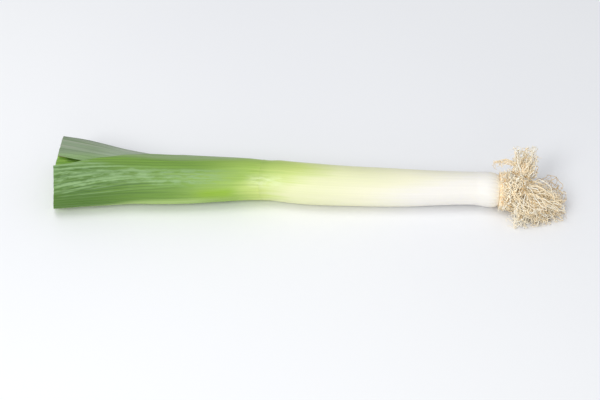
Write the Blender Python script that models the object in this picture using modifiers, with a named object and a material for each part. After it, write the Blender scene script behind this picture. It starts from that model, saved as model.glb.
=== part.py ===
"""Leek lying on its side: a white stalk, folded green leaves cut straight with a knife, and a root mop.

Metres, +Z up. The roots point to +X, the cut leaves to -X. Stations along the leek are measured
from the root plate towards the leaves and are called s. The surface that the leek lies on is z = 0.
"""

import math
import random

import bmesh
import bpy
from mathutils import Matrix, Vector

LEAF_REACH = 0.309
ROOT_REACH = 0.048
ROOT_PLATE_X = (LEAF_REACH - ROOT_REACH) / 2
GAP = 0.0003

# The stalk: its radius, and where its axis runs, as (s, value) keys.
SHAFT_RADIUS = ((0.0, 0.0104), (0.003, 0.0117), (0.008, 0.0122), (0.017, 0.0115), (0.040, 0.0121),
                (0.069, 0.0133), (0.110, 0.0141), (0.131, 0.0145), (0.152, 0.0144), (0.166, 0.0141))
SHAFT_STATIONS = (0.0, 0.0015, 0.004, 0.008, 0.012, 0.017, 0.027, 0.040, 0.055, 0.069, 0.090, 0.110, 0.131,
                  0.145, 0.157)
AXIS_Y = ((0.0, 0.0006), (0.017, 0.0014), (0.069, -0.0006), (0.110, -0.0017), (0.131, -0.0015),
          (0.152, 0.0002), (0.164, 0.0004))
AXIS_Z = ((0.0, 0.0127), (0.017, 0.0131), (0.069, 0.0128), (0.110, 0.0136), (0.131, 0.0140),
          (0.145, 0.0139), (0.152, 0.0141), (0.164, 0.0143), (0.176, 0.0149), (0.235, 0.0147),
          (0.309, 0.0145))
SHAFT_SIDES = 36

# The collar is the rim of the outer sheath. The leaf bases stand in the throat inside it.
COLLAR = 0.164
COLLAR_WAVE = 0.0022
COLLAR_WALL = 0.0006
THROAT_FLOOR = 0.152

# The bundle of leaves: its front edge, back edge and half height, as (s, value) keys.
FRONT_EDGE = ((0.152, -0.0126), (0.166, -0.0125), (0.177, -0.0146), (0.193, -0.0180), (0.214, -0.0210),
              (0.235, -0.0228), (0.255, -0.0236), (0.276, -0.0264), (0.300, -0.0300), (0.309, -0.0312))
BACK_EDGE = ((0.152, 0.0132), (0.166, 0.0133), (0.177, 0.0149), (0.193, 0.0156), (0.214, 0.0165),
             (0.235, 0.0178), (0.255, 0.0216), (0.276, 0.0264), (0.300, 0.0315), (0.309, 0.0330))
HALF_HEIGHT = ((0.152, 0.0129), (0.166, 0.0130), (0.176, 0.0145), (0.235, 0.0142), (0.309, 0.0141))
SQUARENESS = ((0.152, 2.0), (0.176, 2.0), (0.214, 2.2), (0.255, 2.5), (0.309, 3.1))

# The back of the bundle rises off the surface towards the cut: by how much at the very back.
BACK_RISE = ((0.235, 0.0), (0.262, 0.0006), (0.286, 0.0026), (0.302, 0.0035), (0.309, 0.0036))

# A blade reaches this many degrees round the bundle to each side of its own direction.
OUTER_COVER = ((0.152, 177.4), (0.176, 177.4), (0.193, 170.0), (0.215, 149.0), (0.241, 132.0),
               (0.262, 112.0), (0.286, 86.0), (0.297, 66.0), (0.309, 54.0))
CLOSED_COVER = 177.4
OPENING_START = 0.176

# The crease along the outer leaves, in degrees above the leaf's own direction.
CREASE_ANGLE = ((0.152, 75.0), (0.215, 68.0), (0.262, 46.0), (0.309, 24.0))
CREASE_HEIGHT = 0.0011
CREASE_SPREAD = 9.0
CREASE_START = 0.242
CREASE_FULL = 0.290
RIB_HEIGHT = 0.00034
RIB_RUN = 0.06
BLADE = 0.0011

# How far each blade lies inside the outermost one: at the throat, then across and in depth at the cut.
LAYERS = ((0.0, 0.0, 0.0), (0.0019, 0.0020, 0.0021), (0.0038, 0.0062, 0.0045), (0.0057, 0.0102, 0.0074),
          (0.0076, 0.0148, 0.0103))
CREASED_LAYERS = 2

# Where the knife cut each blade: the station at the bundle's front edge and axis height, and how much
# further it lies per metre towards the back and upwards. No blade is longer than LEAF_REACH.
CUTS = ((0.3062, 0.186, -0.115), (0.3082, 0.0, 0.0), (0.3045, 0.186, -0.115), (0.3068, 0.0, 0.0),
        (0.3055, 0.08, 0.0))

# The root mop: a core with strands of true thickness standing out of it.
CORE_RADIUS = 0.0098
CORE_LENGTH = 0.0160
STRAND_RADIUS = 0.00055
STRAND_POINTS = 8
FELT_POINTS = 4
FELT_COUNT = 46
UPPER_COUNT = 16
LONG_COUNT = 20
ROOT_SEED = 11
FLOOR_CLEARANCE = 0.0009
SHAFT_CLEARANCE = 0.0016

COLOURS = {
    "stalk": ((0.90, 0.90, 0.72, 1.0), 0.42),
    "green leaf": ((0.20, 0.38, 0.10, 1.0), 0.45),
    "grey leaf": ((0.24, 0.34, 0.20, 1.0), 0.50),
    "young leaf": ((0.36, 0.52, 0.12, 1.0), 0.45),
    "root": ((0.80, 0.66, 0.42, 1.0), 0.80),
}


def clear_scene():
    for item in list(bpy.data.objects):
        bpy.data.objects.remove(item, do_unlink=True)


def new_collection(name):
    collection = bpy.data.collections.new(name)
    bpy.context.scene.collection.children.link(collection)
    return collection


def material(name):
    colour, roughness = COLOURS[name]
    made = bpy.data.materials.new(name)
    made.use_nodes = True
    shader = made.node_tree.nodes["Principled BSDF"]
    shader.inputs["Base Color"].default_value = colour
    shader.inputs["Roughness"].default_value = roughness
    shader.inputs["Metallic"].default_value = 0.0
    return made


def along(keys, s):
    """Value at station s of a smooth curve through (s, value) keys."""
    if s <= keys[0][0]:
        return keys[0][1]
    for index in range(len(keys) - 1):
        (s0, v0), (s1, v1) = keys[index], keys[index + 1]
        if s <= s1:
            before = keys[max(index - 1, 0)]
            after = keys[min(index + 2, len(keys) - 1)]
            slope0 = (v1 - before[1]) / (s1 - before[0])
            slope1 = (after[1] - v0) / (after[0] - s0)
            t = (s - s0) / (s1 - s0)
            run = s1 - s0
            return ((2 * t ** 3 - 3 * t ** 2 + 1) * v0 + (t ** 3 - 2 * t ** 2 + t) * run * slope0
                    + (3 * t ** 2 - 2 * t ** 3) * v1 + (t ** 3 - t ** 2) * run * slope1)
    return keys[-1][1]


def smooth_step(low, high, value):
    t = min(max((value - low) / (high - low), 0.0), 1.0)
    return t * t * (3 - 2 * t)


def mesh_object(name, work, collection, finish):
    mesh = bpy.data.meshes.new(name)
    bmesh.ops.recalc_face_normals(work, faces=work.faces)
    work.to_mesh(mesh)
    work.free()
    mesh.shade_smooth()
    item = bpy.data.objects.new(name, mesh)
    item.data.materials.append(finish)
    collection.objects.link(item)
    return item


def bridge(work, first, second):
    """Quads between two closed rings of the same number of vertices."""
    count = len(first)
    for index in range(count):
        following = (index + 1) % count
        work.faces.new((first[index], first[following], second[following], second[index]))


def shaft_ring(work, station_at, wall=0.0):
    """One ring round the stalk's axis, wall inside its skin. Its lowest points are cut flat at z = 0."""
    ring = []
    for index in range(SHAFT_SIDES):
        angle = 2 * math.pi * index / SHAFT_SIDES
        s = station_at(angle)
        radius = along(SHAFT_RADIUS, s) - wall
        y = along(AXIS_Y, s) + radius * math.cos(angle)
        z = along(AXIS_Z, s) + radius * math.sin(angle)
        ring.append(work.verts.new((ROOT_PLATE_X - s, y, max(z, 0.0))))
    return ring


def collar_station(angle):
    """The rim reaches furthest along the upper front of the stalk."""
    return COLLAR + COLLAR_WAVE * math.cos(angle - math.radians(140))


def build_shaft(collection):
    work = bmesh.new()
    rings = [shaft_ring(work, lambda angle, s=s: s) for s in SHAFT_STATIONS]
    rings.append(shaft_ring(work, collar_station))
    rings.append(shaft_ring(work, collar_station, COLLAR_WALL))
    rings.append(shaft_ring(work, lambda angle: THROAT_FLOOR, COLLAR_WALL))
    for first, second in zip(rings, rings[1:]):
        bridge(work, first, second)
    work.faces.new(rings[0])
    work.faces.new(rings[-1])
    return mesh_object("shaft", work, collection, material("stalk"))


def bundle_point(s, angle, inset_y, inset_z, lift):
    """Point of the leaf bundle's rounded, flattened section, moved outwards by lift."""
    front = along(FRONT_EDGE, s)
    back = along(BACK_EDGE, s)
    half_width = (back - front) / 2 - inset_y
    half_height = along(HALF_HEIGHT, s) - inset_z
    power = along(SQUARENESS, s)
    across = math.cos(angle)
    up = math.sin(angle)
    reach = (abs(across / half_width) ** power + abs(up / half_height) ** power) ** (-1 / power)
    y = (front + back) / 2 + (reach + lift) * across
    z = along(AXIS_Z, s) + (reach + lift) * up + along(BACK_RISE, s) * max(across, 0.0)
    return y, z


def cut_station(layer, y, z):
    """Station at which a blade of this layer is cut, at the place y, z across the bundle."""
    at_front, per_depth, per_height = CUTS[layer]
    s = at_front + per_depth * (y - FRONT_EDGE[-1][1]) + per_height * (z - AXIS_Z[-1][1])
    return min(s, LEAF_REACH)


def build_leaf(collection, name, side, layer, cover_at, columns, rows, finish):
    """A blade of thickness BLADE. side is its direction in degrees: 180 faces the front, 0 the back."""
    start = THROAT_FLOOR + GAP
    mouth = COLLAR + COLLAR_WAVE + GAP
    at_throat, across_at_cut, deep_at_cut = LAYERS[layer]

    def place(s, step):
        spread = cover_at(s) * (2 * step / columns - 1)
        depth = smooth_step(COLLAR, LEAF_REACH, s)
        inset_y = BLADE / 2 + at_throat + depth * (across_at_cut - at_throat)
        inset_z = BLADE / 2 + at_throat + depth * (deep_at_cut - at_throat)
        lift = RIB_HEIGHT * smooth_step(COLLAR, COLLAR + RIB_RUN, s) * (step % 2 - 0.5)
        if layer < CREASED_LAYERS:
            above = spread if side == 0 else -spread
            crease = (above - along(CREASE_ANGLE, s)) / CREASE_SPREAD
            lift += CREASE_HEIGHT * smooth_step(CREASE_START, CREASE_FULL, s) * math.exp(-crease * crease)
        return bundle_point(s, math.radians(side + spread), inset_y, inset_z, lift)

    work = bmesh.new()
    grid = []
    for row in range(rows + 1):
        line = []
        for step in range(columns + 1):
            reach = cut_station(layer, *place(LEAF_REACH, step))
            s = start if row == 0 else mouth + (reach - mouth) * (row - 1) / (rows - 1)
            y, z = place(s, step)
            line.append(work.verts.new((ROOT_PLATE_X - s, y, z)))
        grid.append(line)
    for lower, upper in zip(grid, grid[1:]):
        for step in range(columns):
            work.faces.new((lower[step], lower[step + 1], upper[step + 1], upper[step]))
    bmesh.ops.triangulate(work, faces=work.faces)
    item = mesh_object(name, work, collection, material(finish))
    shell = item.modifiers.new("blade thickness", "SOLIDIFY")
    shell.thickness = BLADE
    shell.offset = 0.0
    return item


def outer_cover(extra):
    """Reach of an outer blade, a little wider than the outermost one by extra degrees."""
    return lambda s: min(along(OUTER_COVER, s) + extra, CLOSED_COVER)


def inner_cover(at_cut):
    """Reach of an inner blade, which opens evenly from closed to at_cut degrees."""
    return lambda s: CLOSED_COVER + (at_cut - CLOSED_COVER) * smooth_step(OPENING_START, LEAF_REACH, s)


def build_leaves(collection):
    build_leaf(collection, "leaf_front_outer", 180, 0, outer_cover(0), 32, 18, "green leaf")
    build_leaf(collection, "leaf_back_outer", 0, 1, outer_cover(5), 30, 16, "grey leaf")
    build_leaf(collection, "leaf_front_inner", 180, 2, inner_cover(140), 22, 11, "young leaf")
    build_leaf(collection, "leaf_back_inner", 0, 3, inner_cover(120), 20, 10, "young leaf")
    build_leaf(collection, "leaf_heart", 180, 4, inner_cover(150), 20, 8, "young leaf")


def build_core(collection, finish):
    """Root plate and the dense felt on it: a dome with a flat face towards the stalk."""
    work = bmesh.new()
    turn = Matrix.Rotation(math.pi / 2, 4, "Y")
    bmesh.ops.create_uvsphere(work, u_segments=14, v_segments=10, radius=1.0, matrix=turn)
    for vert in work.verts:
        along_axis = max(vert.co.x * CORE_LENGTH, GAP)
        vert.co = (ROOT_PLATE_X + along_axis,
                   along(AXIS_Y, 0) + vert.co.y * CORE_RADIUS,
                   along(AXIS_Z, 0) + vert.co.z * CORE_RADIUS)
    return mesh_object("roots", work, collection, finish)


def keep_clear(point):
    """Lift a strand's point off the floor and push it outwards past the stalk."""
    s = ROOT_PLATE_X - point.x
    if s > -SHAFT_CLEARANCE:
        axis = Vector((point.x, along(AXIS_Y, s), along(AXIS_Z, s)))
        outwards = point - axis
        least = along(SHAFT_RADIUS, s) + SHAFT_CLEARANCE
        if outwards.length < least:
            point = axis + outwards.normalized() * least
    point.z = max(point.z, FLOOR_CLEARANCE)
    point.x = min(point.x, ROOT_PLATE_X + ROOT_REACH - STRAND_RADIUS)
    return point


def felt_tip(chooser, turn):
    """Short strands stand out all round the core."""
    reach = chooser.uniform(0.0125, 0.0150)
    return Vector((chooser.uniform(0.002, 0.020), reach * math.cos(turn), reach * math.sin(turn)))


def upper_tip(chooser, turn):
    """The upper tuft rises behind the end of the stalk."""
    return Vector((chooser.uniform(-0.002, 0.027), chooser.uniform(0.006, 0.028),
                   chooser.uniform(0.006, 0.018)))


def long_tip(chooser, turn):
    """The long tuft falls forward to the surface, past the end of the leek."""
    return Vector((chooser.uniform(0.024, 0.048), chooser.uniform(-0.026, 0.007),
                   chooser.uniform(-0.012, 0.003)))


def strand_path(index, chooser, choose_tip, points):
    """Points of one strand, on a curve from inside the core to its tip."""
    turn = index * math.pi * (3 - math.sqrt(5))
    centre = Vector((ROOT_PLATE_X, along(AXIS_Y, 0), along(AXIS_Z, 0)))
    tip = choose_tip(chooser, turn)
    outwards = Vector((0, math.cos(turn), math.sin(turn)))
    root = Vector((CORE_LENGTH * chooser.uniform(0.1, 0.75), 0, 0)) + outwards * CORE_RADIUS * 0.5
    first = root + outwards * chooser.uniform(0.007, 0.011)
    first.x += chooser.uniform(-0.002, 0.008)
    bend = 0.3 * (tip - first).length
    second = tip.lerp(first, 0.3) + Vector([chooser.uniform(-bend, bend) for _ in range(3)])
    path = []
    for step in range(points):
        t = step / (points - 1)
        point = (centre + root * (1 - t) ** 3 + first * 3 * t * (1 - t) ** 2
                 + second * 3 * t * t * (1 - t) + tip * t ** 3)
        path.append(keep_clear(point) if step > 0 else point)
    return path


def strand_mesh(name, path, collection):
    """A strand as a closed mesh: a bevelled curve with its caps welded on."""
    curve = bpy.data.curves.new(name, "CURVE")
    curve.dimensions = "3D"
    curve.bevel_depth = STRAND_RADIUS
    curve.bevel_resolution = 0
    curve.use_fill_caps = True
    curve.render_resolution_u = 0
    spline = curve.splines.new("POLY")
    spline.points.add(len(path) - 1)
    for point, place in zip(spline.points, path):
        point.co = (*place, 1.0)
    guide = bpy.data.objects.new(name + "_line", curve)
    collection.objects.link(guide)
    depsgraph = bpy.context.evaluated_depsgraph_get()
    mesh = bpy.data.meshes.new_from_object(guide.evaluated_get(depsgraph))
    work = bmesh.new()
    work.from_mesh(mesh)
    bmesh.ops.remove_doubles(work, verts=work.verts, dist=0.00001)
    work.to_mesh(mesh)
    work.free()
    strand = bpy.data.objects.new(name, mesh)
    strand.matrix_world = guide.matrix_world
    collection.objects.link(strand)
    bpy.data.objects.remove(guide, do_unlink=True)
    return strand


def keep_largest_piece(mesh):
    """Drop loose scraps and the walls of sealed hollows, which fills them."""
    work = bmesh.new()
    work.from_mesh(mesh)
    unseen = set(work.verts)
    pieces = []
    while unseen:
        piece = set()
        edge_of_piece = [unseen.pop()]
        while edge_of_piece:
            vert = edge_of_piece.pop()
            piece.add(vert)
            for edge in vert.link_edges:
                other = edge.other_vert(vert)
                if other in unseen:
                    unseen.remove(other)
                    edge_of_piece.append(other)
        pieces.append(piece)
    largest = max(pieces, key=len)
    bmesh.ops.delete(work, geom=[vert for vert in work.verts if vert not in largest], context="VERTS")
    work.to_mesh(mesh)
    work.free()


def build_roots(collection):
    core = build_core(collection, material("root"))
    strands = new_collection("root strands")
    chooser = random.Random(ROOT_SEED)
    kinds = ([(felt_tip, FELT_POINTS)] * FELT_COUNT + [(upper_tip, STRAND_POINTS)] * UPPER_COUNT
             + [(long_tip, STRAND_POINTS)] * LONG_COUNT)
    for index, (choose_tip, points) in enumerate(kinds):
        strand_mesh("strand_%02d" % index, strand_path(index, chooser, choose_tip, points), strands)
    union = core.modifiers.new("strands", "BOOLEAN")
    union.operand_type = "COLLECTION"
    union.collection = strands
    union.operation = "UNION"
    union.solver = "MANIFOLD"
    depsgraph = bpy.context.evaluated_depsgraph_get()
    fused = bpy.data.meshes.new_from_object(core.evaluated_get(depsgraph))
    core.modifiers.remove(union)
    core.data = fused
    keep_largest_piece(core.data)
    for strand in list(strands.objects):
        bpy.data.objects.remove(strand, do_unlink=True)
    bpy.data.collections.remove(strands)
    return core


def build_leek():
    clear_scene()
    collection = new_collection("leek")
    build_shaft(collection)
    build_leaves(collection)
    build_roots(collection)


build_leek()
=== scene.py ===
"""Looks of a leek lying on its side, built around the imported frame.

Stations along the leek are measured in metres from the root plate towards the leaves and are called s.
Directions round its axis are in degrees: 0 is the back, 90 the top, 180 the front and 270 the underside.
In the materials the same directions are parts of a turn: 0.25 is the top and 0.5 the front.
"""

import math
import random

import bmesh
import bpy
import numpy as np
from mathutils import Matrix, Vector


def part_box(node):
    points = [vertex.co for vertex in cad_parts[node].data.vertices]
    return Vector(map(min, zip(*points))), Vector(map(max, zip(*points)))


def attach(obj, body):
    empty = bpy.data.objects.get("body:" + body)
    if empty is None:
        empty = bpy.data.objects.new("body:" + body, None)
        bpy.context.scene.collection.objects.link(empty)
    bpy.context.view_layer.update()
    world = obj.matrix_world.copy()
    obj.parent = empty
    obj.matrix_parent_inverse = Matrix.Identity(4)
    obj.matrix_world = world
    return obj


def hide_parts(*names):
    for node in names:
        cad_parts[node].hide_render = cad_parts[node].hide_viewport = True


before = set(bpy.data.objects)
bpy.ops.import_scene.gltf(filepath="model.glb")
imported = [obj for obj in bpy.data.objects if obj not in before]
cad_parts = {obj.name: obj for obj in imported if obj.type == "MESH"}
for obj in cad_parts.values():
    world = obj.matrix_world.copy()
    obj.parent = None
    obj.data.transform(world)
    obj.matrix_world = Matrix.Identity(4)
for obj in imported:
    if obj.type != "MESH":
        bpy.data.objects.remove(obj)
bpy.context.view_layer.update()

PLATE_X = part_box("shaft")[1][0]
LEAF_REACH = PLATE_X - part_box("leaf_front_outer")[0][0]
ROOT_END_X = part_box("roots")[1][0]

# The stalk and the bundle of leaves as in the solids, as (s, value) keys, except that the bundle is a
# little wider at the collar, so that the leaves come out of the stalk without a step.
SHAFT_RADIUS = ((0.0, 0.0104), (0.003, 0.0117), (0.008, 0.0122), (0.017, 0.0115), (0.040, 0.0121),
                (0.069, 0.0133), (0.110, 0.0141), (0.131, 0.0145), (0.152, 0.0144), (0.166, 0.0141))
AXIS_Y = ((0.0, 0.0006), (0.017, 0.0014), (0.069, -0.0006), (0.110, -0.0017), (0.131, -0.0015),
          (0.152, 0.0002), (0.164, 0.0004))
AXIS_Z = ((0.0, 0.0127), (0.017, 0.0131), (0.069, 0.0128), (0.110, 0.0136), (0.131, 0.0140),
          (0.145, 0.0139), (0.152, 0.0141), (0.164, 0.0143), (0.176, 0.0149), (0.235, 0.0147),
          (0.309, 0.0145))
FRONT_EDGE = ((0.152, -0.0131), (0.160, -0.0133), (0.166, -0.0138), (0.172, -0.0147), (0.180, -0.0158),
              (0.193, -0.0180), (0.214, -0.0210), (0.235, -0.0228), (0.255, -0.0236), (0.276, -0.0264),
              (0.300, -0.0300), (0.309, -0.0312))
BACK_EDGE = ((0.152, 0.0137), (0.160, 0.0139), (0.166, 0.0144), (0.172, 0.0147), (0.180, 0.0150),
             (0.193, 0.0156), (0.214, 0.0165), (0.235, 0.0178), (0.255, 0.0216), (0.276, 0.0264),
             (0.300, 0.0315), (0.309, 0.0330))
HALF_HEIGHT = ((0.152, 0.0138), (0.160, 0.0140), (0.166, 0.0143), (0.172, 0.0145), (0.180, 0.0146),
               (0.235, 0.0142), (0.309, 0.0141))
SQUARENESS = ((0.152, 2.0), (0.176, 2.0), (0.214, 2.2), (0.255, 2.5), (0.309, 3.1))
BACK_RISE = ((0.235, 0.0), (0.262, 0.0004), (0.280, 0.0020), (0.292, 0.0026), (0.302, 0.0023),
             (0.309, 0.0019))
COLLAR = 0.164

# How many degrees the two outer leaves reach to either side of their middle, and how many degrees above
# their middle their creases run.
FRONT_COVER = ((0.152, 179.7), (0.176, 179.7), (0.193, 170.0), (0.215, 149.0), (0.241, 132.0),
               (0.262, 112.0), (0.286, 86.0), (0.297, 66.0), (0.309, 54.0))
BACK_COVER = ((0.152, 179.7), (0.176, 179.7), (0.193, 175.0), (0.215, 154.0), (0.241, 137.0),
              (0.262, 117.0), (0.286, 92.0), (0.297, 84.0), (0.309, 73.0))
FRONT_CREASE = ((0.152, 75.0), (0.215, 60.0), (0.262, 38.0), (0.309, 17.0))
BACK_CREASE = ((0.152, 75.0), (0.215, 68.0), (0.262, 42.0), (0.309, 23.5))
CLOSED_COVER = 179.7
OPENING_START = 0.176
FRONT_SIDE = 180
BACK_SIDE = 0

# Leaves from the outside in. Layers: how deep each lies under the bundle's surface at the throat, then at
# the cut across and in height. Cuts: the station of the cut at the front, and its slope in depth and height.
LAYERS = ((0.0, 0.0, 0.0), (0.0019, 0.0020, 0.0021), (0.0038, 0.0062, 0.0045), (0.0057, 0.0102, 0.0074),
          (0.0076, 0.0148, 0.0103))
CUTS = ((0.3062, 0.186, -0.115), (0.3082, 0.0, 0.0), (0.3045, 0.186, -0.115), (0.3068, 0.0, 0.0),
        (0.3055, 0.08, 0.0))
CREASED_LAYERS = 2
BLADE = 0.0011
BLADE_START = 0.155

# Camera: how the leek is seen, and how wide a strip of the floor the picture's width covers. The sensor's
# width is in millimetres.
VIEW_AZIMUTH = 3.3
VIEW_ELEVATION = 42.0
VIEW_DISTANCE = 1.0
VIEW_WIDTH = 0.414
SENSOR_WIDTH = 36.0
AIM = (-0.0067, -0.0176, 0.013)

RIPPLE_WAVES = 6
RIPPLE_TURNS = (1, 2, 3, 4, 5, 7)


def along(keys, s):
    """Value at station s of a smooth curve through (s, value) keys. s may be an array."""
    where = np.clip(np.asarray(s, float), keys[0][0], keys[-1][0])
    value = np.full(where.shape, keys[0][1], float)
    for index in range(len(keys) - 1):
        (s0, v0), (s1, v1) = keys[index], keys[index + 1]
        before = keys[max(index - 1, 0)]
        after = keys[min(index + 2, len(keys) - 1)]
        slope0 = (v1 - before[1]) / (s1 - before[0])
        slope1 = (after[1] - v0) / (after[0] - s0)
        t = (where - s0) / (s1 - s0)
        run = s1 - s0
        piece = ((2 * t ** 3 - 3 * t ** 2 + 1) * v0 + (t ** 3 - 2 * t ** 2 + t) * run * slope0
                 + (3 * t ** 2 - 2 * t ** 3) * v1 + (t ** 3 - t ** 2) * run * slope1)
        value = np.where((where >= s0) & (where <= s1), piece, value)
    return value


def smooth_step(low, high, value):
    t = np.clip((np.asarray(value, float) - low) / (high - low), 0.0, 1.0)
    return t * t * (3 - 2 * t)


def ripple(s, degrees, scale, seed):
    """Smooth uneven surface between -1 and 1. scale is the length of its waves along the leek."""
    chooser = random.Random(seed)
    total = 0.0
    for _ in range(RIPPLE_WAVES):
        turns = chooser.choice(RIPPLE_TURNS)
        waves = chooser.uniform(0.5, 1.5) / scale
        phase = chooser.uniform(0, 2 * math.pi)
        total = total + np.sin(2 * math.pi * waves * s + np.radians(degrees) * turns + phase)
    return total / RIPPLE_WAVES


def grid_mesh(name, x, y, z, maps, closed):
    """A quad surface through the points of 2-D arrays, with UV maps as {name: (u, v)} arrays."""
    rows, columns = x.shape
    mesh = bpy.data.meshes.new(name)
    points = np.stack([x, y, z], axis=-1).reshape(-1, 3)
    index = np.arange(rows * columns).reshape(rows, columns)
    nearest = index if closed else index[:, :-1]
    following = np.roll(index, -1, axis=1) if closed else index[:, 1:]
    quads = np.stack([nearest[:-1], nearest[1:], following[1:], following[:-1]], axis=-1).reshape(-1, 4)
    mesh.from_pydata(points.tolist(), [], quads.tolist())
    corner = np.empty(len(mesh.loops), np.int32)
    mesh.loops.foreach_get("vertex_index", corner)
    for map_name, map_values in maps.items():
        layer = mesh.uv_layers.new(name=map_name)
        values = np.stack([np.broadcast_to(part, x.shape) for part in map_values], axis=-1).reshape(-1, 2)
        layer.data.foreach_set("uv", values[corner].ravel().astype(np.float32))
    mesh.shade_smooth()
    made = bpy.data.objects.new(name, mesh)
    bpy.context.scene.collection.objects.link(made)
    return made


def close_ends(made):
    """Fill a tube's two open ends and turn its faces outwards."""
    work = bmesh.new()
    work.from_mesh(made.data)
    bmesh.ops.holes_fill(work, edges=[edge for edge in work.edges if edge.is_boundary], sides=0)
    bmesh.ops.recalc_face_normals(work, faces=work.faces)
    work.to_mesh(made.data)
    work.free()
    made.data.shade_smooth()


def linear(red, green, blue):
    """A colour given as 0 to 255 values on screen, as the shader's linear values."""
    def one(value):
        value = value / 255
        return value / 12.92 if value <= 0.04045 else ((value + 0.055) / 1.055) ** 2.4
    return (one(red), one(green), one(blue), 1.0)


# Colours as they would look in full, even light, with 0 to 255 values for red, green and blue.
WHITE = linear(236, 233, 226)
CREAM = linear(234, 232, 204)
PALE_GREEN = linear(224, 227, 180)
CRINKLE_PALE = linear(226, 236, 190)
YELLOW_GREEN = linear(197, 213, 126)
FRESH_GREEN = linear(156, 186, 88)
LEAF_GREEN = linear(112, 148, 60)
DEEP_GREEN = linear(76, 114, 32)
TOP_GREEN = linear(114, 152, 60)
BLOOM_GREEN = linear(142, 175, 120)
BLOOM_AND_SHEEN_GREEN = linear(146, 166, 124)
REFLECTED_LIGHT_GREEN = linear(172, 198, 120)
VIVID_GREEN = linear(140, 178, 44)
FOLD_GREEN = linear(62, 98, 40)
GREY_GREEN = linear(120, 140, 108)
GREY_DARK = linear(98, 118, 90)
GREY_BLOOM = linear(136, 152, 126)
CREASE_PALE = linear(176, 176, 164)
YOUNG_GREEN = linear(142, 182, 76)
YOUNG_SHADE = linear(104, 146, 52)
INSIDE_GREEN = linear(150, 182, 96)
CUT_FLESH = linear(186, 206, 142)
CUT_SKIN = linear(128, 160, 84)
DRY_FLESH = linear(150, 142, 118)
DRY_SKIN = linear(118, 112, 92)
BACK_MARGIN = linear(128, 162, 98)
BACK_PALE = linear(166, 180, 158)
FOOT_STRAW = linear(234, 222, 196)
ROOT_TAN = linear(212, 180, 128)
ROOT_BROWN = linear(224, 184, 122)
ROOT_STRAW = linear(255, 236, 200)
ROOT_CREAM = linear(255, 246, 224)
ROOT_PALE = linear(255, 252, 240)
FELT_BROWN = linear(192, 142, 92)
FELT_STRAW = linear(252, 218, 170)
FELT_CREAM = linear(255, 242, 214)
FLOOR_GREY = linear(238, 239, 242)
FLOOR_PALE = linear(242, 243, 245)

SUBSURFACE_DEPTH = 0.002
SUBSURFACE_RADIUS = (1.0, 1.0, 0.5)


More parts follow.
